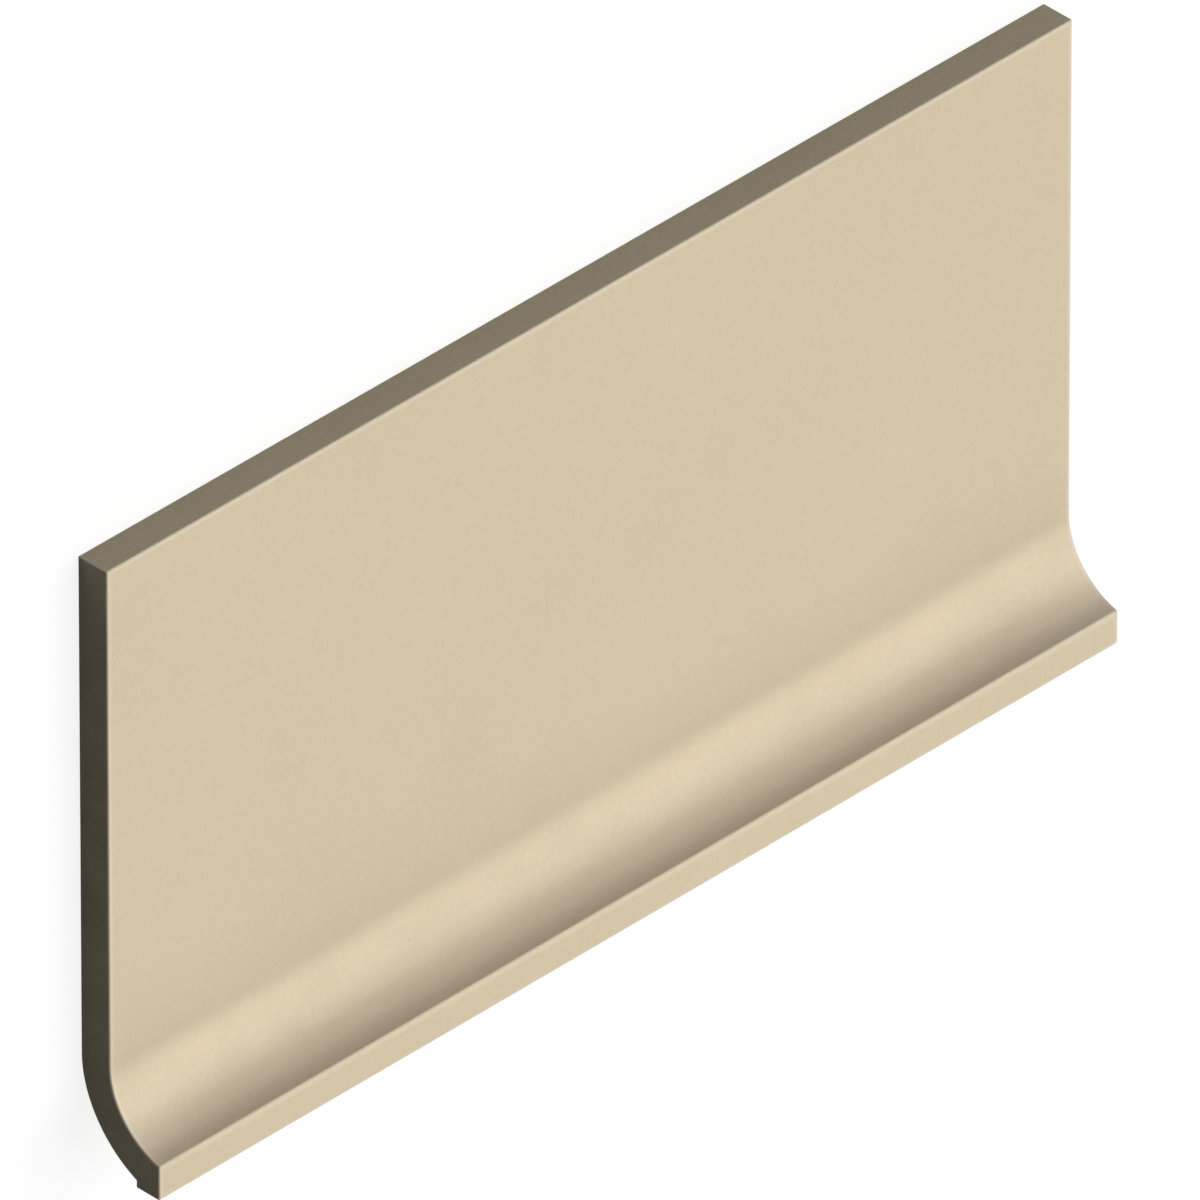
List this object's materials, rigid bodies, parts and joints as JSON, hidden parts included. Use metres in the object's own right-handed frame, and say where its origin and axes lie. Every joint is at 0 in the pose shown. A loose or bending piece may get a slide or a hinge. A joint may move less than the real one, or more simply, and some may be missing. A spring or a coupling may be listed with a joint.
{
  "type": "cove base tile",
  "caption": "Flat ceramic wall tile whose lower edge sweeps forward through a concave cove to a squared toe, closing the corner between wall and floor.",
  "frame": {"origin": "centre of the bounding box's bottom face: mid length, mid height, on the plane of the back", "axes": "+X along the length, to the right when the face is seen with the toe at the bottom; +Y up the wall from the foot to the top edge; +Z out of the face"},
  "size_m": [0.3, 0.1614, 0.0243],
  "materials": {
    "fired_ceramic": "satin"
  },
  "bodies": {
    "root": {"cove_tile": "fired_ceramic"}
  },
  "joints": []
}
